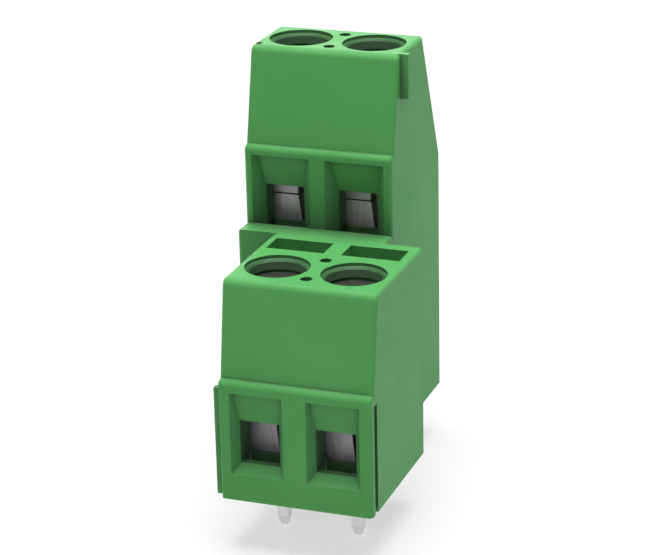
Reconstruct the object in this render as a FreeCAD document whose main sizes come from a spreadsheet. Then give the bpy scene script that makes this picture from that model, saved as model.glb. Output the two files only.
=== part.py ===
import FreeCAD, Part
import os
from types import SimpleNamespace

import Sketcher

# Two-level screw terminal for circuit boards: two poles on each level.
# Millimetres. +Z is up and the wires enter from -Y.
# The origin is the middle of the solder pin pattern, on the plane of the circuit board.
# "Lower" is the front level, "upper" the rear one, half a pole to the left and one rise higher.
# In each level, depths run back from its own front face and heights up from its own base.

SIDES = ("left", "right")

SIZES = {
    # Pole grid and the two levels
    "pole_pitch": 5.08,
    "level_stagger": 2.54,
    "pin_row_gap": 12.7,
    "screw_setback": 4.46,
    "level_setback": 11.84,
    "level_rise": 11.58,
    # Outside of the housing
    "level_height": 14.35,
    "lower_depth": 10.32,
    "upper_depth": 10.39,
    "crown_depth": 6.89,
    "back_height": 16.95,
    "lower_lean": 1.43,
    "upper_lean": 1.8,
    "ridge_height": 8.12,
    "ridge_depth": 0.44,
    "ridge_round": 0.42,
    "brow_round": 0.5,
    "edge_round": 0.3,
    # Wire funnels and what lies behind them
    "lower_mouth_width": 3.54,
    "lower_mouth_sill": 1.75,
    "lower_mouth_top": 7.3,
    "lower_funnel_depth": 0.6,
    "lower_entry_sill": 2.4,
    "lower_lip": 0.55,
    "upper_mouth_width": 4.06,
    "upper_mouth_top": 7.47,
    "upper_funnel_depth": 0.8,
    "upper_sill_drop": 0.35,
    "upper_lip": 0.2,
    "entry_width": 2.65,
    "entry_top": 5.3,
    "inner_sill_height": 2.55,
    "inner_sill_thickness": 0.3,
    "inner_sill_slit": 0.14,
    "trough_floor": 1.6,
    # Chamber of the clamp sleeve, open at the underside
    "chamber_width": 4.2,
    "lower_chamber_front": 2.3,
    "upper_chamber_front": 2.05,
    "chamber_rear": 6.56,
    "chamber_headroom": 0.15,
    # Screwdriver hole over each screw
    "access_radius": 1.85,
    "rim_radius": 2.1,
    "rim_depth": 0.2,
    "rim_cone": 0.17,
    # Small holes and pockets in the tops
    "peg_hole_radius": 0.38,
    "peg_hole_depth": 2.5,
    "front_peg_setback": 2.82,
    "lower_rear_peg_setback": 6.32,
    "upper_rear_peg_setback": 5.95,
    "well_width": 3.9,
    "well_setback": 7.51,
    "well_length": 1.95,
    "well_depth": 7.3,
    # Tongues and grooves that join blocks side by side
    "key_width": 0.42,
    "key_reach": 0.5,
    "key_gap": 0.05,
    "lower_key_setback": 0.62,
    "lower_key_height": 7.3,
    "upper_key_setback": 2.2,
    "upper_key_length": 2.95,
    # Contact strip: current bar, leg, foot and solder pin bent from one strip
    "strip_thickness": 0.65,
    "bar_width": 2.8,
    "lower_bar_level": 4.8,
    "upper_bar_level": 4.35,
    "leg_width": 3.0,
    "leg_shoulder_drop": 0.3,
    "leg_shoulder_height": 1.25,
    "foot_lift": 0.1,
    "bend_radius": 0.15,
    "pin_width": 0.75,
    "pin_length": 3.5,
    "tip_length": 0.7,
    "tip_inset": 0.17,
    # Clamp sleeve
    "sleeve_side_gap": 0.1,
    "sleeve_end_gap": 0.05,
    "sleeve_corner": 0.3,
    "jaw_bottom": 2.5,
    "clamp_gap": 0.1,
    "window_side_gap": 0.1,
    "window_headroom": 0.25,
    "plate_thickness": 2.2,
    "relief_top_offset": 0.5,
    "relief_bottom_offset": 0.8,
    "relief_depth": 0.8,
    "relief_round": 0.2,
    "foot_channel_gap": 0.25,
    "foot_channel_height": 0.7,
    "clamp_travel": 2.0,
    # Clamp screw
    "thread_radius": 1.25,
    "thread_gap": 0.05,
    "tip_gap": 0.03,
    "tip_chamfer": 0.3,
    "head_radius": 1.95,
    "head_under_gap": 1.1,
    "head_recess": 1.0,
    "head_chamfer": 0.2,
    "head_side_gap": 0.1,
    "head_top_gap": 0.12,
    "slot_width": 0.6,
    "slot_depth": 0.8,
    # How far a cutting sketch runs past the solid
    "overrun": 0.5,
}


class Size:
    """A length that carries its number and the formula that gives it from the sheet."""

    def __init__(self, number, formula):
        self.number = number
        self.formula = formula

    def __add__(self, other):
        other = as_size(other)
        return Size(self.number + other.number, "(" + self.formula + " + " + other.formula + ")")

    def __sub__(self, other):
        other = as_size(other)
        return Size(self.number - other.number, "(" + self.formula + " - " + other.formula + ")")

    def __mul__(self, factor):
        return Size(self.number * factor, "(" + self.formula + " * " + str(factor) + ")")

    def __truediv__(self, factor):
        return Size(self.number / factor, "(" + self.formula + " / " + str(factor) + ")")

    def __neg__(self):
        return self * -1


def as_size(value):
    """A plain number as a Size, and a Size as it is."""
    if isinstance(value, Size):
        return value
    return Size(float(value), str(float(value)))


def size(name):
    """The sheet's size of this name."""
    return Size(SIZES[name], "Sizes." + name)


def bind(item, path, value):
    """Ties one property of an object to the sheet."""
    item.setExpression(path, as_size(value).formula)


def fill_sheet(doc):
    """The sheet of driving sizes: names in column A, numbers in column B."""
    sheet = doc.addObject("Spreadsheet::Sheet", "Sizes")
    for row, (name, number) in enumerate(SIZES.items(), 1):
        sheet.set("A%d" % row, name)
        sheet.set("B%d" % row, str(number))
        sheet.setAlias("B%d" % row, name)
    doc.recompute()
    return sheet


# Places that several pieces share

ORIGIN_SETBACK = size("screw_setback") + size("pin_row_gap") / 2
CHAMBER_REAR = size("chamber_rear")
HEAD_TOP = size("level_height") - size("head_recess")
HEAD_STOP = HEAD_TOP + size("head_top_gap")
HEAD_BORE_RADIUS = size("head_radius") + size("head_side_gap")
PIN_HALF = size("pin_width") / 2

LOWER = SimpleNamespace(
    name="lower",
    centre=size("level_stagger") / 2,
    front=-ORIGIN_SETBACK,
    base=as_size(0),
    mouth_width=size("lower_mouth_width"),
    mouth_sill=size("lower_mouth_sill"),
    mouth_top=size("lower_mouth_top"),
    funnel_depth=size("lower_funnel_depth"),
    entry_sill=size("lower_entry_sill"),
    lip=size("lower_lip"),
    bar_level=size("lower_bar_level"),
    chamber_front=size("lower_chamber_front"),
    rear_peg=size("lower_rear_peg_setback"),
    pin_setback=size("screw_setback"),
)

# The ledge in front of the upper funnels is level with the lower top, their floor a step lower.
LEDGE = size("level_height") - size("level_rise")
UPPER_SILL = LEDGE - size("upper_sill_drop")

UPPER = SimpleNamespace(
    name="upper",
    centre=-(size("level_stagger") / 2),
    front=size("level_setback") - ORIGIN_SETBACK,
    base=size("level_rise"),
    mouth_width=size("upper_mouth_width"),
    mouth_sill=UPPER_SILL,
    mouth_top=size("upper_mouth_top"),
    funnel_depth=size("upper_funnel_depth"),
    entry_sill=UPPER_SILL,
    lip=size("upper_lip"),
    bar_level=size("upper_bar_level"),
    chamber_front=size("upper_chamber_front"),
    rear_peg=size("upper_rear_peg_setback"),
    pin_setback=size("screw_setback") + size("pin_row_gap") - size("level_setback"),
)

LEVELS = (LOWER, UPPER)

# Heights of the clamp above the base of its level
for level in LEVELS:
    level.bar_top = level.bar_level + size("strip_thickness")
    level.jaw_top = level.bar_level - size("clamp_gap")
    level.window_top = level.bar_top + size("clamp_travel") + size("window_headroom")
    level.sleeve_top = level.window_top + size("plate_thickness")
    level.chamber_top = level.sleeve_top + size("chamber_headroom")
    level.head_bottom = level.sleeve_top + size("head_under_gap")


def pole_centre(level, side):
    """X of a pole's middle plane."""
    half_pitch = size("pole_pitch") / 2
    if side == "left":
        return level.centre - half_pitch
    return level.centre + half_pitch


# Drawing helpers

def new_body(doc, name):
    """An empty body, labelled with the name of its piece."""
    body = doc.addObject("PartDesign::Body", name)
    body.Label = name
    return body


def sketch_on(body, name, role, x=0, y=0, z=0):
    """A sketch on one of the body's origin planes, moved so that its own origin is at x, y, z."""
    sketch = body.newObject("Sketcher::SketchObject", name)
    plane = [item for item in body.Origin.OriginFeatures if item.Role == role][0]
    sketch.AttachmentSupport = [(plane, "")]
    sketch.MapMode = "FlatFace"
    offset = {
        "XY_Plane": (x, y, z),
        "XZ_Plane": (x, z, -as_size(y)),
        "YZ_Plane": (y, z, x),
    }[role]
    for axis, value in zip("xyz", offset):
        bind(sketch, "AttachmentOffset.Base." + axis, value)
    return sketch


def hold(sketch, kind, geometry, point, value):
    """Holds a point of the sketch at a distance from the sketch's origin."""
    value = as_size(value)
    rule = Sketcher.Constraint(kind, -1, 1, geometry, point, value.number)
    index = sketch.addConstraint(rule)
    sketch.setExpression("Constraints[%d]" % index, value.formula)


def draw_outline(sketch, corners):
    """A closed outline of straight edges through corners, each an (across, up) pair."""
    points = [(as_size(across), as_size(up)) for across, up in corners]
    first = sketch.GeometryCount
    count = len(points)
    for index in range(count):
        start = points[index]
        end = points[(index + 1) % count]
        line = Part.LineSegment(
            FreeCAD.Vector(start[0].number, start[1].number, 0),
            FreeCAD.Vector(end[0].number, end[1].number, 0),
        )
        sketch.addGeometry(line)
    for index in range(count):
        following = first + (index + 1) % count
        sketch.addConstraint(Sketcher.Constraint("Coincident", first + index, 2, following, 1))
    for index in range(count):
        hold(sketch, "DistanceX", first + index, 1, points[index][0])
        hold(sketch, "DistanceY", first + index, 1, points[index][1])


def draw_box(sketch, left, right, low, high):
    """A closed rectangle."""
    draw_outline(sketch, [(left, low), (right, low), (right, high), (left, high)])


def draw_circle(sketch, across, up, radius):
    """A circle held by its centre and radius."""
    across = as_size(across)
    up = as_size(up)
    centre = FreeCAD.Vector(across.number, up.number, 0)
    index = sketch.addGeometry(Part.Circle(centre, FreeCAD.Vector(0, 0, 1), radius.number))
    hold(sketch, "DistanceX", index, 3, across)
    hold(sketch, "DistanceY", index, 3, up)
    rule = sketch.addConstraint(Sketcher.Constraint("Radius", index, radius.number))
    sketch.setExpression("Constraints[%d]" % rule, radius.formula)


def extrude(body, kind, name, sketch, length, reverse=False, both_ways=False):
    """A pad or pocket of one sketch."""
    feature = body.newObject("PartDesign::" + kind, name)
    feature.Profile = sketch
    feature.Reversed = reverse
    if both_ways:
        feature.SideType = "Symmetric"
    feature.Length = as_size(length).number
    bind(feature, "Length", length)
    sketch.Visibility = False
    return feature


def pad(body, name, sketch, length, **options):
    return extrude(body, "Pad", name, sketch, length, **options)


def pocket(body, name, sketch, length, **options):
    return extrude(body, "Pocket", name, sketch, length, **options)


def revolve(body, kind, name, sketch):
    """A full turn of a sketch about its own vertical axis."""
    feature = body.newObject("PartDesign::" + kind, name)
    feature.Profile = sketch
    feature.ReferenceAxis = (sketch, ["V_Axis"])
    feature.Angle = 360
    sketch.Visibility = False
    return feature


def round_edges(body, doc, name, radius, wanted):
    """Rounds the edges of the body's last feature that the test picks."""
    doc.recompute()
    base = body.Tip
    names = []
    for index, edge in enumerate(base.Shape.Edges, 1):
        if wanted(edge):
            names.append("Edge%d" % index)
    if not names:
        raise RuntimeError(name + " finds no edge")
    feature = body.newObject("PartDesign::Fillet", name)
    feature.Base = (base, names)
    feature.Radius = radius.number
    bind(feature, "Radius", radius)
    return feature


NEAR = 0.001


def lies_at(edge, **place):
    """Whether both ends of an edge lie at the given x, y or z."""
    for vertex in edge.Vertexes:
        for axis, value in place.items():
            if abs(getattr(vertex, axis.upper()) - as_size(value).number) > NEAR:
                return False
    return True


# Housing

def block_profiles(body):
    """The two blocks, each a side profile pulled across its two poles."""
    width = size("pole_pitch") * len(SIDES)
    height = size("level_height")
    ridge = size("ridge_height")

    side = sketch_on(body, "lower_profile", "YZ_Plane", x=LOWER.centre, y=LOWER.front)
    draw_outline(side, [
        (0, 0),
        (size("lower_depth"), 0),
        (size("lower_depth"), height),
        (size("lower_lean"), height),
        (size("ridge_depth"), ridge),
        (0, ridge),
    ])
    pad(body, "lower_block", side, width, both_ways=True)

    side = sketch_on(body, "upper_profile", "YZ_Plane", x=UPPER.centre, y=UPPER.front)
    gap = size("lower_depth") - size("level_setback")
    rise = size("level_rise")
    draw_outline(side, [
        (gap, 0),
        (size("upper_depth"), 0),
        (size("upper_depth"), size("back_height")),
        (size("crown_depth"), rise + height),
        (size("upper_lean"), rise + height),
        (size("ridge_depth"), rise + ridge),
        (0, rise + ridge),
        (0, height),
        (gap, height),
    ])
    pad(body, "upper_block", side, width, both_ways=True)


def round_blocks(body, doc):
    """Rounds the ridge over the wire side, the brow over it and the side edges."""
    height = size("level_height")

    def on_ridge(edge):
        for level in LEVELS:
            if lies_at(edge, y=level.front, z=level.base + size("ridge_height")):
                return True
        return False

    def on_brow(edge):
        leans = {"lower": size("lower_lean"), "upper": size("upper_lean")}
        for level in LEVELS:
            if lies_at(edge, y=level.front + leans[level.name], z=level.base + height):
                return True
        return False

    def on_side(edge):
        for level in LEVELS:
            for sign in (-1, 1):
                if not lies_at(edge, x=level.centre + size("pole_pitch") * sign):
                    continue
                flat = all(vertex.Z < NEAR for vertex in edge.Vertexes)
                buried = level is LOWER and lies_at(edge, y=LOWER.front + size("lower_depth"))
                if not flat and not buried:
                    return True
        return False

    round_edges(body, doc, "ridge_rounds", size("ridge_round"), on_ridge)
    round_edges(body, doc, "brow_rounds", size("brow_round"), on_brow)
    round_edges(body, doc, "side_rounds", size("edge_round"), on_side)


def repeat_poles(body, name, features):
    """Repeats cuts that were made at a level's left pole at its right pole."""
    pattern = body.newObject("PartDesign::LinearPattern", name)
    pattern.Originals = features
    axis = [item for item in body.Origin.OriginFeatures if item.Role == "X_Axis"][0]
    pattern.Direction = (axis, [""])
    pattern.Occurrences = len(SIDES)
    pattern.Length = SIZES["pole_pitch"]
    bind(pattern, "Length", size("pole_pitch") * (len(SIDES) - 1))
    body.Tip = pattern
    return pattern


def cut_funnel(body, level):
    """The funnel that leads a wire in: a wide mouth narrowing to the wire opening.

    The sides and the sill narrow over the whole depth, the top only over its rear half.
    """
    x = pole_centre(level, "left")
    mouth_half = level.mouth_width / 2
    entry_half = size("entry_width") / 2
    sections = [
        ("mouth", as_size(0), mouth_half, level.mouth_sill, level.mouth_top),
        ("waist", level.funnel_depth / 2, (mouth_half + entry_half) / 2,
         (level.mouth_sill + level.entry_sill) / 2, level.mouth_top),
        ("throat", level.funnel_depth, entry_half, level.entry_sill, size("entry_top")),
    ]
    outlines = []
    for name, depth, half, sill, top in sections:
        y = level.front + depth
        outline = sketch_on(body, level.name + "_" + name, "XZ_Plane", x=x, y=y, z=level.base)
        draw_box(outline, -half, half, sill, top)
        outlines.append(outline)
    funnel = body.newObject("PartDesign::SubtractiveLoft", level.name + "_funnel")
    funnel.Profile = outlines[0]
    funnel.Sections = outlines[1:]
    funnel.Ruled = True
    return funnel


def cut_passage(body, level):
    """The way from the funnel to the chamber, over a lip, a trough and an inner sill."""
    x = pole_centre(level, "left")
    lip_end = level.funnel_depth + level.lip
    sill_rear = level.chamber_front
    sill_front = sill_rear - size("inner_sill_thickness")
    side = sketch_on(body, level.name + "_passage_side", "YZ_Plane", x=x, y=level.front, z=level.base)
    draw_outline(side, [
        (level.funnel_depth, level.entry_sill),
        (lip_end, level.entry_sill),
        (lip_end, size("trough_floor")),
        (sill_front, size("trough_floor")),
        (sill_front, size("inner_sill_height")),
        (sill_rear, size("inner_sill_height")),
        (sill_rear, size("entry_top")),
        (level.funnel_depth, size("entry_top")),
    ])
    passage = pocket(body, level.name + "_passage", side, size("entry_width"), both_ways=True)

    # The inner sill stands free of the passage's walls.
    y = level.front + sill_rear
    ends = sketch_on(body, level.name + "_sill_ends", "XZ_Plane", x=x, y=y, z=level.base)
    half = size("entry_width") / 2
    inner = half - size("inner_sill_slit")
    top = size("inner_sill_height") + size("overrun")
    draw_box(ends, -half, -inner, size("trough_floor"), top)
    draw_box(ends, inner, half, size("trough_floor"), top)
    slits = pocket(body, level.name + "_sill_slits", ends, size("inner_sill_thickness"), reverse=True)
    return [passage, slits]


def cut_chamber(body, level):
    """The shaft for the sleeve and screw, and the slot that holds the contact's leg."""
    x = pole_centre(level, "left")
    floor = sketch_on(body, level.name + "_chamber_plan", "XY_Plane", x=x, y=level.front)
    half = size("chamber_width") / 2
    draw_box(floor, -half, half, level.chamber_front, CHAMBER_REAR)
    chamber = pocket(body, level.name + "_chamber", floor, level.base + level.chamber_top, reverse=True)
    slot = sketch_on(body, level.name + "_leg_plan", "XY_Plane", x=x, y=level.front)
    half = size("leg_width") / 2
    overlap = size("overrun")
    rear = CHAMBER_REAR + size("strip_thickness")
    draw_box(slot, -half, half, CHAMBER_REAR - overlap, rear)
    leg_slot = pocket(body, level.name + "_leg_slot", slot, level.base + level.bar_top, reverse=True)
    return [chamber, leg_slot]


def cut_screw_hole(body, level):
    """The screwdriver hole: rim, short cone and bore, and under its stop the bore for the head."""
    x = pole_centre(level, "left")
    y = level.front + size("screw_setback")
    top = size("level_height")
    rim = top - size("rim_depth")
    half = sketch_on(body, level.name + "_screw_hole_half", "XZ_Plane", x=x, y=y, z=level.base)
    draw_outline(half, [
        (0, level.chamber_top - size("overrun")),
        (HEAD_BORE_RADIUS, level.chamber_top - size("overrun")),
        (HEAD_BORE_RADIUS, HEAD_STOP),
        (size("access_radius"), HEAD_STOP),
        (size("access_radius"), rim - size("rim_cone")),
        (size("rim_radius"), rim),
        (size("rim_radius"), top + size("overrun")),
        (0, top + size("overrun")),
    ])
    return revolve(body, "Groove", level.name + "_screw_hole", half)


def cut_peg_holes(body, level):
    """The two small round holes between a level's poles."""
    y = level.front
    z = level.base + size("level_height")
    plan = sketch_on(body, level.name + "_peg_plan", "XY_Plane", x=level.centre, y=y, z=z)
    for setback in (size("front_peg_setback"), level.rear_peg):
        draw_circle(plan, 0, setback, size("peg_hole_radius"))
    pocket(body, level.name + "_peg_holes", plan, size("peg_hole_depth"))


def cut_wells(body):
    """The two open wells behind the screws of the lower level."""
    x = pole_centre(LOWER, "left")
    plan = sketch_on(body, "well_plan", "XY_Plane", x=x, y=LOWER.front, z=size("level_height"))
    half = size("well_width") / 2
    draw_box(plan, -half, half, size("well_setback"), size("well_setback") + size("well_length"))
    return pocket(body, "well", plan, size("well_depth"))


def key_outline(sketch, setback, low, high, gap):
    """Side view of a tongue, or of a groove that clears it by the gap all round."""
    draw_box(sketch, setback - gap, setback + size("key_width") + gap, low, high)


def add_keys(body):
    """A tongue on one side of each level and a groove for its neighbour's on the other."""
    top = size("level_rise") + size("level_height")
    height = size("lower_key_height")
    bottom = top - size("upper_key_length")
    reach = size("key_reach")
    gap = size("key_gap")
    root = size("edge_round")

    lower_left = LOWER.centre - size("pole_pitch")
    side = sketch_on(body, "lower_tongue_side", "YZ_Plane", x=lower_left + root, y=LOWER.front)
    key_outline(side, size("lower_key_setback"), 0, height, as_size(0))
    pad(body, "lower_tongue", side, reach + root, reverse=True)

    lower_right = LOWER.centre + size("pole_pitch")
    side = sketch_on(body, "lower_groove_side", "YZ_Plane", x=lower_right, y=LOWER.front)
    key_outline(side, size("lower_key_setback"), -size("overrun"), height + gap, gap)
    pocket(body, "lower_groove", side, reach + gap)

    upper_right = UPPER.centre + size("pole_pitch")
    side = sketch_on(body, "upper_tongue_side", "YZ_Plane", x=upper_right - root, y=UPPER.front)
    key_outline(side, size("upper_key_setback"), bottom, top, as_size(0))
    pad(body, "upper_tongue", side, reach + root)

    upper_left = UPPER.centre - size("pole_pitch")
    side = sketch_on(body, "upper_groove_side", "YZ_Plane", x=upper_left, y=UPPER.front)
    key_outline(side, size("upper_key_setback"), bottom - gap, top + size("overrun"), gap)
    pocket(body, "upper_groove", side, reach + gap, reverse=True)


def make_housing(doc):
    """The moulded housing of both levels, one piece."""
    body = new_body(doc, "housing")
    block_profiles(body)
    round_blocks(body, doc)
    for level in LEVELS:
        cuts = [cut_funnel(body, level)]
        cuts += cut_passage(body, level)
        cuts += cut_chamber(body, level)
        cuts.append(cut_screw_hole(body, level))
        if level is LOWER:
            cuts.append(cut_wells(body))
        repeat_poles(body, level.name + "_poles", cuts)
        cut_peg_holes(body, level)
    add_keys(body)
    return body


# Contact strips

def make_contact(doc, level, side):
    """One bent strip: current bar, leg, foot and solder pin."""
    body = new_body(doc, "contact_%s_%s" % (level.name, side))
    bind(body, "Placement.Base.x", pole_centre(level, side))
    bind(body, "Placement.Base.y", level.front)
    thick = size("strip_thickness")
    bar_front = level.chamber_front + size("sleeve_end_gap")
    bar_bottom = level.base + level.bar_level
    bar_top = bar_bottom + thick
    leg_front = CHAMBER_REAR
    leg_rear = CHAMBER_REAR + thick
    foot_bottom = size("foot_lift")
    foot_top = foot_bottom + thick
    pin_front = level.pin_setback - thick / 2
    pin_rear = level.pin_setback + thick / 2
    tip = -size("pin_length")
    taper = tip + size("tip_length")
    inset = size("tip_inset")

    profile = sketch_on(body, "strip_side", "YZ_Plane")
    draw_outline(profile, [
        (bar_front, bar_bottom),
        (leg_front, bar_bottom),
        (leg_front, foot_top),
        (pin_front, foot_top),
        (pin_front, taper),
        (pin_front + inset, tip),
        (pin_rear - inset, tip),
        (pin_rear, taper),
        (pin_rear, foot_bottom),
        (leg_rear, foot_bottom),
        (leg_rear, bar_top),
        (bar_front, bar_top),
    ])
    pad(body, "strip", profile, size("leg_width"), both_ways=True)

    inner = size("bend_radius")
    inner_bends = ((leg_front, bar_bottom), (leg_front, foot_top), (pin_rear, foot_bottom))
    outer_bends = ((leg_rear, bar_top), (leg_rear, foot_bottom), (pin_front, foot_top))

    def bends(places):
        return lambda edge: any(lies_at(edge, y=place[0], z=place[1]) for place in places)

    round_edges(body, doc, "inner_bends", inner, bends(inner_bends))
    round_edges(body, doc, "outer_bends", inner + thick, bends(outer_bends))

    past = size("leg_width") / 2 + size("overrun")
    shoulder_top = bar_bottom - size("leg_shoulder_drop")
    shoulder_bottom = size("leg_shoulder_height")
    front = sketch_on(body, "strip_front", "XZ_Plane")
    draw_box(front, size("bar_width") / 2, past, shoulder_top, bar_top + size("overrun"))
    draw_outline(front, [
        (PIN_HALF, shoulder_bottom),
        (PIN_HALF, taper),
        (PIN_HALF - inset, tip),
        (PIN_HALF - inset, tip - size("overrun")),
        (past, tip - size("overrun")),
        (past, shoulder_bottom),
    ])
    reach = leg_rear + size("overrun")
    trim = pocket(body, "side_trim", front, reach)
    mirrored = body.newObject("PartDesign::Mirrored", "both_sides")
    mirrored.Originals = [trim]
    plane = [item for item in body.Origin.OriginFeatures if item.Role == "YZ_Plane"][0]
    mirrored.MirrorPlane = (plane, [""])
    body.Tip = mirrored

    # The bar's end is set back on its right, as the sleeve round it is.
    offset = size("relief_top_offset")
    plan = sketch_on(body, "relief_plan", "XY_Plane", z=bar_top)
    draw_box(plan, offset, past, bar_front - size("overrun"), bar_front + size("relief_depth"))
    pocket(body, "bar_relief", plan, thick)

    def relief_corner(edge):
        return lies_at(edge, x=offset, y=bar_front)

    round_edges(body, doc, "relief_corner", size("relief_round"), relief_corner)
    return body


# Clamp sleeves

def make_sleeve(doc, level, side):
    """A closed loop round the current bar: jaw below, window, threaded plate on top."""
    body = new_body(doc, "clamp_sleeve_%s_%s" % (level.name, side))
    bind(body, "Placement.Base.x", pole_centre(level, side))
    bind(body, "Placement.Base.y", level.front + size("screw_setback"))
    bind(body, "Placement.Base.z", level.base)
    half = size("chamber_width") / 2 - size("sleeve_side_gap")
    window_half = size("bar_width") / 2 + size("window_side_gap")
    front = level.chamber_front + size("sleeve_end_gap") - size("screw_setback")
    rear = CHAMBER_REAR - size("sleeve_end_gap") - size("screw_setback")

    ring = sketch_on(body, "loop_outline", "XZ_Plane", y=rear)
    draw_box(ring, -half, half, size("jaw_bottom"), level.sleeve_top)
    draw_box(ring, -window_half, window_half, level.jaw_top, level.window_top)
    pad(body, "loop", ring, rear - front)

    def outer_corner(edge):
        for x in (-half, half):
            for z in (size("jaw_bottom"), level.sleeve_top):
                if lies_at(edge, x=x, z=z):
                    return True
        return False

    round_edges(body, doc, "loop_corners", size("sleeve_corner"), outer_corner)

    # The jaw and the post beside it are set back on the right, from a slanting edge.
    past = half + size("overrun")
    below = size("jaw_bottom") - size("overrun")
    relief = sketch_on(body, "relief_front", "XZ_Plane", y=front)
    draw_outline(relief, [
        (size("relief_bottom_offset"), below),
        (past, below),
        (past, level.window_top),
        (size("relief_top_offset"), level.window_top),
        (size("relief_top_offset"), level.jaw_top),
    ])
    pocket(body, "jaw_relief", relief, size("relief_depth"))

    def slanting_edge(edge):
        heights = sorted(vertex.Z for vertex in edge.Vertexes)
        from_bottom = abs(heights[0] - SIZES["jaw_bottom"]) < NEAR
        spans_jaw = from_bottom and abs(heights[-1] - level.jaw_top.number) < NEAR
        return spans_jaw and lies_at(edge, y=front)

    round_edges(body, doc, "relief_edge", size("relief_round"), slanting_edge)

    plan = sketch_on(body, "thread_plan", "XY_Plane", z=level.sleeve_top)
    draw_circle(plan, 0, 0, size("thread_radius"))
    pocket(body, "thread_hole", plan, size("plate_thickness") + size("overrun"))

    # The lowered jaw straddles the contact's foot.
    plan = sketch_on(body, "foot_channel_plan", "XY_Plane", z=size("jaw_bottom"))
    channel_half = PIN_HALF + size("foot_channel_gap")
    channel_front = -(size("strip_thickness") / 2) - size("foot_channel_gap")
    draw_box(plan, -channel_half, channel_half, channel_front, rear + size("overrun"))
    pocket(body, "foot_channel", plan, size("foot_channel_height"), reverse=True)
    return body


# Clamp screws

def make_screw(doc, level, side):
    """A slotted screw whose tip bears on the current bar and whose head is trapped in the housing."""
    body = new_body(doc, "clamp_screw_%s_%s" % (level.name, side))
    bind(body, "Placement.Base.x", pole_centre(level, side))
    bind(body, "Placement.Base.y", level.front + size("screw_setback"))
    bind(body, "Placement.Base.z", level.base)
    shank = size("thread_radius") - size("thread_gap")
    tip = level.bar_top + size("tip_gap")
    half = sketch_on(body, "turned_half", "XZ_Plane")
    draw_outline(half, [
        (0, tip),
        (shank - size("tip_chamfer"), tip),
        (shank, tip + size("tip_chamfer")),
        (shank, level.head_bottom),
        (size("head_radius"), level.head_bottom),
        (size("head_radius"), HEAD_TOP - size("head_chamfer")),
        (size("head_radius") - size("head_chamfer"), HEAD_TOP),
        (0, HEAD_TOP),
    ])
    revolve(body, "Revolution", "turned", half)
    plan = sketch_on(body, "slot_plan", "XY_Plane", z=HEAD_TOP)
    slot_half = size("slot_width") / 2
    reach = size("head_radius") + size("overrun")
    draw_box(plan, -reach, reach, -slot_half, slot_half)
    pocket(body, "driver_slot", plan, size("slot_depth"))
    return body


# Building, checking and writing

def check(doc, bodies):
    """Stops on a failed object, an empty or invalid shape, or a feature that changes nothing."""
    for item in doc.Objects:
        if "Invalid" in item.State or "Error" in item.State:
            raise RuntimeError("failed: " + item.Label)
    for body in bodies:
        shape = body.Shape
        if shape.isNull() or not shape.isValid() or len(shape.Solids) != 1:
            raise RuntimeError("bad shape: " + body.Label)
        for feature in body.Group:
            base = getattr(feature, "BaseFeature", None)
            if base is None or not hasattr(feature, "Shape"):
                continue
            if abs(feature.Shape.Volume - base.Shape.Volume) < NEAR:
                raise RuntimeError("no effect: " + body.Label + " " + feature.Label)


def main():
    doc = FreeCAD.newDocument("screw_terminal")
    fill_sheet(doc)
    bodies = [make_housing(doc)]
    for level in LEVELS:
        for side in SIDES:
            bodies.append(make_contact(doc, level, side))
            bodies.append(make_sleeve(doc, level, side))
            bodies.append(make_screw(doc, level, side))
    doc.recompute()
    check(doc, bodies)
    os.makedirs("parts", exist_ok=True)
    for body in bodies:
        body.Shape.exportStep("parts/" + body.Label + ".step")
        box = body.Shape.BoundBox
        volume = body.Shape.Volume
        print("%-26s volume %8.2f  z %6.2f to %6.2f" % (body.Label, volume, box.ZMin, box.ZMax))


main()
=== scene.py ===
import math

import bmesh
import bpy
from mathutils import Matrix, Vector


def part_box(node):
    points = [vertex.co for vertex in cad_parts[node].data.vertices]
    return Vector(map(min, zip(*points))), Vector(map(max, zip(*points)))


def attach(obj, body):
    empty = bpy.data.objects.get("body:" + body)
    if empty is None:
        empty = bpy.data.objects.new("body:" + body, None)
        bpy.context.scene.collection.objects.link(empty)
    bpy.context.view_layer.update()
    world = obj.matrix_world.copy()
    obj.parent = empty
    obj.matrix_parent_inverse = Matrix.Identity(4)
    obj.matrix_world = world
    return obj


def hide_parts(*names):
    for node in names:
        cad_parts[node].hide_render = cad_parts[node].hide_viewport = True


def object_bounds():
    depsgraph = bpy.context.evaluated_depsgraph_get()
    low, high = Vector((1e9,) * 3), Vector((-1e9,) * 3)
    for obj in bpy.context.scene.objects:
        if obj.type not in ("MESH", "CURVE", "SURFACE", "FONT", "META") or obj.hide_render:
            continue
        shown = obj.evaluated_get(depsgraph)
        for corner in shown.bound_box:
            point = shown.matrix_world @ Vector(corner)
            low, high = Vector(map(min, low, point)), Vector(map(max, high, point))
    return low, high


# Two-level screw terminal for circuit boards: moulded green housing with metal clamps.
# Everything is in metres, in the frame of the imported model: +Z up, wires enter from -Y.

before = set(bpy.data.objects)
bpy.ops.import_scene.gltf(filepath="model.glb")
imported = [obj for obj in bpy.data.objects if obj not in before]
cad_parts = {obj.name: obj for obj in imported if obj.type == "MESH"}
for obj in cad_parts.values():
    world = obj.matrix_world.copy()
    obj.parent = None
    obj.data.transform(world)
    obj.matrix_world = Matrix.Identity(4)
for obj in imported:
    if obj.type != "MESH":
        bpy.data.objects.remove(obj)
cad_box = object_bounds()

MM = 0.001
LEVELS = ("lower", "upper")
SIDES = ("left", "right")
POLES = [level + "_" + side for level in LEVELS for side in SIDES]

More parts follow.
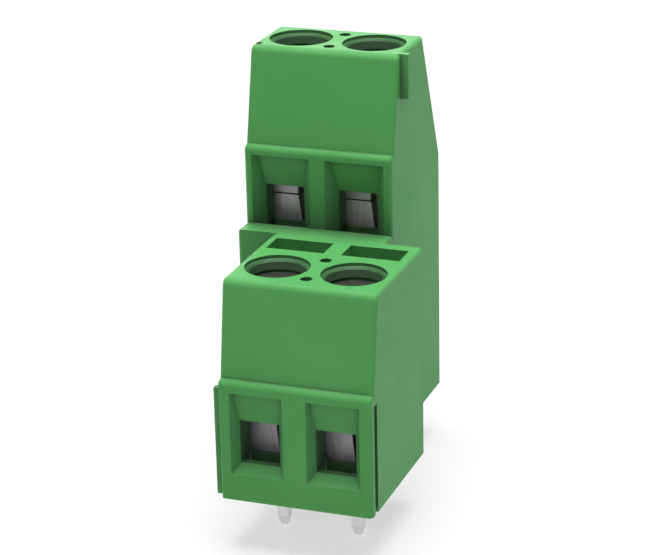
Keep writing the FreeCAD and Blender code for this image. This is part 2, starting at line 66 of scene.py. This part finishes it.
# The photograph's camera, fitted to corners and edges of the object
IMAGE_WIDTH = 666
CAMERA_AZIMUTH = math.radians(20.265)
CAMERA_ELEVATION = math.radians(20.331)
CAMERA_ROLL = math.radians(-1.247)
CAMERA_DISTANCE = 149.278 * MM
FOCAL_PIXELS = 2330.66
AIM = Vector((0.0, -1.81, 15.0)) * MM
AIM_RIGHT = 0.759 * MM
AIM_UP = -2.704 * MM
SENSOR_WIDTH = 36.0
CLIP_START = 0.01
CLIP_END = 10.0

# Colours, linear. The hole-shade green is painted shade on the walls of the screwdriver
# holes, and the cone-shade ones are painted shade for the foot and the edge of the short
# cones that lead into them.
GREEN = (0.104, 0.420, 0.115)
GREEN_DEEP = (0.093, 0.392, 0.103)
GREEN_PALE = (0.120, 0.448, 0.132)
GREEN_PAINTED_SHADE = (0.072, 0.170, 0.076)
GREEN_HOLE_SHADE = (0.125, 0.243, 0.132)
GREEN_CONE_SHADE = (0.022, 0.085, 0.026)
GREEN_CONE_SHADE_EDGE = (0.064, 0.205, 0.066)
# Painted light: the sleeves are one zinc, painted lighter on the upper level than on the lower
ZINC_PAINTED_LIGHT = {"lower": (0.27, 0.253, 0.27), "upper": (0.42, 0.39, 0.41)}
ZINC_PAINTED_LIGHT_DARK = {"lower": (0.20, 0.187, 0.20), "upper": (0.31, 0.288, 0.30)}
# Painted shade: the screw steel is dark and tinted green, as painted shade and a painted green
# reflection at the foot of the holes
STEEL_SHADED = (0.112, 0.124, 0.109)
STEEL_SHADED_DARK = (0.070, 0.077, 0.068)
TIN = (0.80, 0.80, 0.79)
TIN_DARK = (0.68, 0.68, 0.675)
# Painted shade: the tin of the contact bar inside the block
TIN_PAINTED_SHADE = (0.30, 0.285, 0.30)
WHITE = (1.0, 1.0, 1.0)

# The painted shade in recesses, by ambient occlusion: how far it looks for walls, and at what
# shares of open sky it is full and gone
PAINTED_SHADE_REACH = 4.0 * MM
PAINTED_SHADE_SAMPLES = 8
PAINTED_SHADE_SHARES = (0.50, 0.97)

# The wells behind the lower screws, which take only a little of the painted shade
WELLS_OPEN = 0.85
WELLS_Y = -2.33 * MM
WELLS_HALF = 1.15 * MM
WELLS_FLOOR = 7.0 * MM

# The screws and the holes over them, with the sizes of the solids, and the scene's thread
SCREW_AXES = {"lower": ((-1.27, -6.35), (3.81, -6.35)), "upper": ((-3.81, 5.49), (1.27, 5.49))}
BORE_RADIUS = 1.853 * MM
CONE_RADIUS = 2.095 * MM
THREAD_PITCH = 0.5 * MM
THREAD_DEPTH = 0.16 * MM
THREAD_STEPS = 10
THREAD_RUNOUT = 0.35 * MM
SHANK_RADIUS = 1.2 * MM
TIP_CHAMFER = 0.3 * MM
HEAD_HEIGHTS = {"lower": 2.35 * MM, "upper": 2.8 * MM}
NEAR = 0.01 * MM
SHARP_ANGLE = math.radians(28.0)

# Turning marks on the screws, in radians a metre of radius: 0.09 mm from ring to ring
RING_WAVE = 70000.0

# Height where a contact strip leaves its bright pin, and where the painted shade inside the block
# is full
TIN_SHADE_HEIGHTS = (0.0, 1.5 * MM)

# The floor: its colour for bounced light, its colour and glow where it is seen, and the
# distances from the middle over which the glow grows
FLOOR_HALF = 3.0
FLOOR_GAP = 0.00002
FLOOR_BOUNCE = (0.59, 0.59, 0.59)
FLOOR_SEEN = (0.32, 0.32, 0.32)
FLOOR_LIFT = (0.62, 1.0)
FLOOR_LIFT_REACH = (0.25, 1.0)

# Lights: place, size across and power
LIGHT_AIM = (0.0, 0.0, 0.012)
LIGHTS = {
    "top_light": ((0.02, 0.01, 0.62), 0.5, 5.15),
    "back_light": ((-0.21, 0.53, 0.25), 0.3, 0.5),
    "front_light": ((-0.1, -0.55, 0.40), 0.5, 0.55),
}
WORLD_LIGHT = 0.03
WORLD_SEEN = 1.0


def level_of(pole):
    """The level in a pole's name."""
    return pole.split("_")[0]


def add_camera():
    """A camera at the photograph's viewpoint."""
    sin_a, cos_a = math.sin(CAMERA_AZIMUTH), math.cos(CAMERA_AZIMUTH)
    sin_e, cos_e = math.sin(CAMERA_ELEVATION), math.cos(CAMERA_ELEVATION)
    back = Vector((sin_a * cos_e, -cos_a * cos_e, sin_e))
    level_right = Vector((cos_a, sin_a, 0.0))
    level_up = back.cross(level_right)
    sin_r, cos_r = math.sin(CAMERA_ROLL), math.cos(CAMERA_ROLL)
    right = level_right * cos_r + level_up * sin_r
    up = level_up * cos_r - level_right * sin_r
    data = bpy.data.cameras.new("photo_camera")
    data.sensor_width = SENSOR_WIDTH
    data.lens = FOCAL_PIXELS / IMAGE_WIDTH * SENSOR_WIDTH
    data.clip_start = CLIP_START
    data.clip_end = CLIP_END
    camera = bpy.data.objects.new("photo_camera", data)
    bpy.context.scene.collection.objects.link(camera)
    place = AIM + back * CAMERA_DISTANCE + right * AIM_RIGHT + up * AIM_UP
    turn = Matrix((right, up, back)).transposed()
    camera.matrix_world = Matrix.Translation(place) @ turn.to_4x4()
    bpy.context.scene.camera = camera


class Nodes:
    """A new material with short calls for its nodes."""

    def __init__(self, name):
        self.material = bpy.data.materials.new(name)
        self.material.use_nodes = True
        self.tree = self.material.node_tree
        self.tree.nodes.clear()
        self.output = self.add("ShaderNodeOutputMaterial")

    def add(self, kind, inputs=None, **settings):
        node = self.tree.nodes.new(kind)
        for key, value in settings.items():
            setattr(node, key, value)
        for key, value in (inputs or {}).items():
            self.put(node.inputs[key], value)
        return node

    def put(self, socket, value):
        if isinstance(value, bpy.types.NodeSocket):
            self.tree.links.new(value, socket)
        elif isinstance(value, tuple) and len(value) == 3 and socket.type == "RGBA":
            socket.default_value = (*value, 1.0)
        else:
            socket.default_value = value

    def place(self, scale=(1.0, 1.0, 1.0), offset=(0.0, 0.0, 0.0)):
        """Object coordinates, moved and stretched."""
        coords = self.add("ShaderNodeTexCoord")
        inputs = {"Vector": coords.outputs["Object"], "Location": offset, "Scale": scale}
        return self.add("ShaderNodeMapping", inputs).outputs["Vector"]

    def split(self, vector):
        return self.add("ShaderNodeSeparateXYZ", {"Vector": vector}).outputs

    def noise(self, scale, detail=2.0, roughness=0.5, vector=None):
        if vector is None:
            vector = self.place()
        node = self.add(
            "ShaderNodeTexNoise",
            {"Vector": vector, "Scale": scale, "Detail": detail, "Roughness": roughness},
        )
        return node.outputs["Fac"]

    def spread(self, value, low, high, to_low=0.0, to_high=1.0):
        """The value's stretch from low to high, moved to another stretch and clamped."""
        ends = {"From Min": low, "From Max": high, "To Min": to_low, "To Max": to_high}
        return self.add("ShaderNodeMapRange", {"Value": value, **ends}).outputs["Result"]

    def math(self, operation, first, second=0.0):
        node = self.add("ShaderNodeMath", operation=operation)
        self.put(node.inputs[0], first)
        self.put(node.inputs[1], second)
        return node.outputs["Value"]

    def blend(self, factor, first, second):
        node = self.add("ShaderNodeMix", data_type="RGBA", blend_type="MIX")
        self.put(node.inputs["Factor"], factor)
        self.put(node.inputs["A"], first)
        self.put(node.inputs["B"], second)
        return node.outputs["Result"]

    def bump(self, height, strength, distance, normal=None):
        inputs = {"Height": height, "Strength": strength, "Distance": distance}
        if normal is not None:
            inputs["Normal"] = normal
        return self.add("ShaderNodeBump", inputs).outputs["Normal"]

    def length(self, *parts):
        """Length of the arrow with these parts."""
        squares = [self.math("MULTIPLY", part, part) for part in parts]
        return self.math("SQRT", self.math("ADD", *squares))

    def finish(self, **inputs):
        """A Principled shader, its inputs named with underscores for blanks."""
        named = {key.replace("_", " "): value for key, value in inputs.items()}
        shader = self.add("ShaderNodeBsdfPrincipled", named)
        self.put(self.output.inputs["Surface"], shader.outputs["BSDF"])
        return self.material


def from_screw_axis(nodes, place):
    """Distance across from the nearest screw's axis, 1 m at most."""
    nearest = 1.0
    for level in LEVELS:
        for across, along in SCREW_AXES[level]:
            off_x = nodes.math("SUBTRACT", place["X"], across * MM)
            off_y = nodes.math("SUBTRACT", place["Y"], along * MM)
            nearest = nodes.math("MINIMUM", nearest, nodes.length(off_x, off_y))
    return nearest


def moulded_green():
    """Satin moulded polyamide with faint flow clouds, fine grain and a soft sheen.

    Recesses get painted shade, darker where ambient occlusion finds walls close by. The holes
    over the screws get painted shade too: their walls darker and greyer, their cones darkest
    at the foot.
    """
    nodes = Nodes("moulded_green")
    clouds = nodes.noise(130.0, 3.0, 0.55)
    streaks = nodes.noise(90.0, 3.0, 0.6, nodes.place((1.0, 1.0, 0.35)))
    grain = nodes.noise(9000.0, 2.0, 0.6)
    colour = nodes.blend(nodes.spread(clouds, 0.35, 0.65), GREEN_DEEP, GREEN)
    colour = nodes.blend(nodes.spread(streaks, 0.5, 0.75, 0.0, 0.5), colour, GREEN_PALE)
    # Painted shade: a darker tone where ambient occlusion finds walls, with little of it in the
    # wells
    recess = nodes.add(
        "ShaderNodeAmbientOcclusion",
        {"Distance": PAINTED_SHADE_REACH},
        samples=PAINTED_SHADE_SAMPLES,
        only_local=True,
    )
    open_part = nodes.spread(recess.outputs["AO"], *PAINTED_SHADE_SHARES)
    place = nodes.split(nodes.place())
    from_wells = nodes.math("ABSOLUTE", nodes.math("SUBTRACT", place["Y"], WELLS_Y))
    between = nodes.math("LESS_THAN", from_wells, WELLS_HALF)
    above = nodes.math("GREATER_THAN", place["Z"], WELLS_FLOOR)
    well = nodes.math("MULTIPLY", between, above)
    open_part = nodes.math("MAXIMUM", open_part, nodes.math("MULTIPLY", well, WELLS_OPEN))
    colour = nodes.blend(open_part, GREEN_PAINTED_SHADE, colour)
    # Painted shade in the screw holes: bore walls darker and greyer, cones darkest at the foot
    off_axis = from_screw_axis(nodes, place)
    up_the_cone = nodes.spread(off_axis, BORE_RADIUS, CONE_RADIUS)
    cone_shade = nodes.blend(up_the_cone, GREEN_CONE_SHADE, GREEN_CONE_SHADE_EDGE)
    colour = nodes.blend(nodes.math("LESS_THAN", off_axis, CONE_RADIUS), colour, cone_shade)
    colour = nodes.blend(nodes.math("LESS_THAN", off_axis, BORE_RADIUS), colour, GREEN_HOLE_SHADE)
    rough = nodes.spread(nodes.noise(420.0, 3.0), 0.3, 0.7, 0.46, 0.56)
    normal = nodes.bump(grain, 0.10, 0.00002)
    normal = nodes.bump(nodes.noise(260.0, 2.0), 0.06, 0.0002, normal)
    return nodes.finish(
        Base_Color=colour, Roughness=rough, Normal=normal, IOR=1.5, Specular_IOR_Level=0.2
    )


def brushed_zinc(level):
    """Zinc-plated steel of a level's sleeves, brushed up and down, with painted light by level."""
    nodes = Nodes("brushed_zinc_" + level)
    lines = nodes.noise(420.0, 4.0, 0.7, nodes.place((9.0, 9.0, 1.0)))
    clouds = nodes.noise(500.0, 3.0)
    # Painted light: the level picks a lighter or a darker copy of the same zinc
    colour = nodes.blend(nodes.spread(lines, 0.35, 0.7), ZINC_PAINTED_LIGHT_DARK[level], ZINC_PAINTED_LIGHT[level])
    rough = nodes.spread(clouds, 0.3, 0.7, 0.38, 0.5)
    normal = nodes.bump(lines, 0.15, 0.00003)
    return nodes.finish(Base_Color=colour, Metallic=1.0, Roughness=rough, Normal=normal)


def tin_plate():
    """Bright tin on the solder pins, with painted shade darkening the bar inside the block."""
    nodes = Nodes("tin_plate")
    height = nodes.split(nodes.place())["Z"]
    inside = nodes.spread(height, *TIN_SHADE_HEIGHTS)
    streaks = nodes.noise(2500.0, 3.0, 0.6, nodes.place((1.0, 1.0, 0.15)))
    bright = nodes.blend(nodes.spread(streaks, 0.35, 0.7), TIN_DARK, TIN)
    # Painted shade: the tin darkens from its bright pin to the bar inside the block
    colour = nodes.blend(inside, bright, TIN_PAINTED_SHADE)
    rough = nodes.spread(nodes.noise(900.0, 3.0), 0.3, 0.7, 0.42, 0.52)
    normal = nodes.bump(streaks, 0.15, 0.00002)
    return nodes.finish(Base_Color=colour, Metallic=1.0, Roughness=rough, Normal=normal)


def screw_middle(pole):
    """The screw's axis and its lowest and highest point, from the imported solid."""
    low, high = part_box("clamp_screw_" + pole)
    return (low[0] + high[0]) / 2, (low[1] + high[1]) / 2, low[2], high[2]


def turned_steel(pole):
    """Turned screw: rings on the faces, dulled unevenly, darkened and tinted green with painted
    shade.
    """
    x, y, _, top = screw_middle(pole)
    nodes = Nodes("turned_steel_" + pole)
    place = nodes.place(offset=(-x, -y, -top))
    parts = nodes.split(place)
    radius = nodes.length(parts["X"], parts["Y"])
    rings = nodes.math("SINE", nodes.math("MULTIPLY", radius, RING_WAVE))
    smear = nodes.noise(1400.0, 3.0, 0.6, place)
    # Painted shade: both steel colours are darkened and green-tinted
    colour = nodes.blend(nodes.spread(smear, 0.35, 0.68), STEEL_SHADED_DARK, STEEL_SHADED)
    rough = nodes.spread(nodes.noise(2600.0, 2.0, 0.5, place), 0.3, 0.7, 0.42, 0.52)
    normal = nodes.bump(rings, 0.15, 0.000004)
    return nodes.finish(Base_Color=colour, Metallic=1.0, Roughness=rough, Normal=normal)


def shank_radius(z, turn, tip, under_head):
    """Radius of the threaded shank at a height and a share of a turn.

    The thread runs out below the head, and the tip has a chamfer.
    """
    fade = min(1.0, max(0.0, (under_head - z) / THREAD_RUNOUT - 1.0))
    phase = (z / THREAD_PITCH - turn) % 1.0
    groove = 1.0 - abs(2.0 * phase - 1.0)
    threaded = SHANK_RADIUS - THREAD_DEPTH * fade * groove
    return min(threaded, SHANK_RADIUS - TIP_CHAMFER + (z - tip))


def threaded_screw(pole, material):
    """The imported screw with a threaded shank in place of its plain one.

    The new shank grows ring by ring from the hole that the old one leaves in the head's
    underside, so that the mesh stays closed.
    """
    x, y, tip, top = screw_middle(pole)
    under_head = top - HEAD_HEIGHTS[level_of(pole)]
    screw = bmesh.new()
    screw.from_mesh(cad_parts["clamp_screw_" + pole].data)
    bmesh.ops.remove_doubles(screw, verts=screw.verts, dist=NEAR / 10)

    def off_axis(corner):
        return math.hypot(corner.co.x - x, corner.co.y - y)

    def angle_of(corner):
        return math.atan2(corner.co.y - y, corner.co.x - x)

    def on_shank(corner):
        return off_axis(corner) < SHANK_RADIUS + NEAR and corner.co.z < under_head + NEAR

    def on_rim(corner):
        on_radius = abs(off_axis(corner) - SHANK_RADIUS) < NEAR
        return on_radius and abs(corner.co.z - under_head) < NEAR

    plain = [face for face in screw.faces if all(on_shank(corner) for corner in face.verts)]
    bmesh.ops.delete(screw, geom=plain, context="FACES")
    rim = [corner for corner in screw.verts if on_rim(corner)]
    rim.sort(key=angle_of)
    angles = [angle_of(corner) for corner in rim]
    rows = max(2, round((under_head - tip) / THREAD_PITCH * THREAD_STEPS))
    above = rim
    for row in range(rows - 1, -1, -1):
        z = tip + (under_head - tip) * row / rows
        ring = []
        for angle in angles:
            radius = shank_radius(z, angle / math.tau, tip, under_head)
            place = (x + radius * math.cos(angle), y + radius * math.sin(angle), z)
            ring.append(screw.verts.new(place))
        for index in range(len(ring)):
            after = (index + 1) % len(ring)
            screw.faces.new((ring[index], ring[after], above[after], above[index]))
        above = ring
    screw.faces.new(list(reversed(above)))
    screw.normal_update()
    for face in screw.faces:
        face.smooth = True
    for edge in screw.edges:
        edge.smooth = edge.calc_face_angle() < SHARP_ANGLE
    mesh = bpy.data.meshes.new("threaded_screw_" + pole)
    screw.to_mesh(mesh)
    screw.free()
    mesh.materials.clear()
    mesh.materials.append(material)
    piece = bpy.data.objects.new("threaded_screw_" + pole, mesh)
    bpy.context.scene.collection.objects.link(piece)
    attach(piece, "screw_" + pole)
    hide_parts("clamp_screw_" + pole)


def give(node, material):
    """One material all over a carried-over node."""
    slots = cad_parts[node].data.materials
    slots.clear()
    slots.append(material)


def dress_metals():
    """Sleeves, screws and contacts in their metals."""
    tin = tin_plate()
    zinc = {level: brushed_zinc(level) for level in LEVELS}
    for pole in POLES:
        give("clamp_sleeve_" + pole, zinc[level_of(pole)])
        threaded_screw(pole, turned_steel(pole))
        give("contact_" + pole, tin)


def add_floor():
    """A plain white floor at the pins' tips.

    Camera, glossy and transmission rays see it lifted to white, more so far from the object,
    where the lamps don't reach. It keeps the object's shadow.
    """
    half = FLOOR_HALF
    z = cad_box[0][2] - FLOOR_GAP
    mesh = bpy.data.meshes.new("floor")
    corners = [(-half, -half, z), (half, -half, z), (half, half, z), (-half, half, z)]
    mesh.from_pydata(corners, [], [(0, 1, 2, 3)])
    floor = bpy.data.objects.new("floor", mesh)
    bpy.context.scene.collection.objects.link(floor)
    nodes = Nodes("white_floor")
    path = nodes.add("ShaderNodeLightPath")
    seen = nodes.math("MAXIMUM", path.outputs["Is Camera Ray"], path.outputs["Is Glossy Ray"])
    seen = nodes.math("MAXIMUM", seen, path.outputs["Is Transmission Ray"])
    colour = nodes.blend(seen, FLOOR_BOUNCE, FLOOR_SEEN)
    away = nodes.add("ShaderNodeVectorMath", {"Vector": nodes.place()}, operation="LENGTH")
    lift = nodes.spread(away.outputs["Value"], *FLOOR_LIFT_REACH, *FLOOR_LIFT)
    lift = nodes.math("MULTIPLY", seen, lift)
    white_floor = nodes.finish(
        Base_Color=colour, Roughness=0.9, Emission_Color=WHITE, Emission_Strength=lift
    )
    mesh.materials.append(white_floor)


def add_area_light(name, place, size, power):
    """A round area light turned to the object."""
    data = bpy.data.lights.new(name, "AREA")
    data.shape = "ELLIPSE"
    data.size = size
    data.size_y = size
    data.energy = power
    light = bpy.data.objects.new(name, data)
    bpy.context.scene.collection.objects.link(light)
    light.location = place
    ahead = Vector(LIGHT_AIM) - Vector(place)
    light.rotation_euler = ahead.to_track_quat("-Z", "Y").to_euler()


def add_light():
    """A soft light overhead, which the pale floor throws back on the upright faces.

    A weak one behind gives the tops their sheen, another in front lightens the leaning faces.
    The world is white where it is seen and lights hardly at all.
    """
    for name, (place, size, power) in LIGHTS.items():
        add_area_light(name, place, size, power)
    world = bpy.data.worlds.new("studio")
    bpy.context.scene.world = world
    world.use_nodes = True
    tree = world.node_tree
    tree.nodes.clear()
    back = tree.nodes.new("ShaderNodeBackground")
    out = tree.nodes.new("ShaderNodeOutputWorld")
    path = tree.nodes.new("ShaderNodeLightPath")
    strength = tree.nodes.new("ShaderNodeMapRange")
    strength.inputs["To Min"].default_value = WORLD_LIGHT
    strength.inputs["To Max"].default_value = WORLD_SEEN
    seen = path.outputs["Is Camera Ray"]
    for ray in ("Is Glossy Ray", "Is Transmission Ray"):
        either = tree.nodes.new("ShaderNodeMath")
        either.operation = "MAXIMUM"
        tree.links.new(seen, either.inputs[0])
        tree.links.new(path.outputs[ray], either.inputs[1])
        seen = either.outputs["Value"]
    tree.links.new(seen, strength.inputs["Value"])
    tree.links.new(strength.outputs["Result"], back.inputs["Strength"])
    back.inputs["Color"].default_value = (*WHITE, 1.0)
    tree.links.new(back.outputs["Background"], out.inputs["Surface"])


def main():
    bpy.context.scene.view_settings.view_transform = "Standard"
    add_camera()
    give("housing", moulded_green())
    dress_metals()
    add_floor()
    add_light()


main()
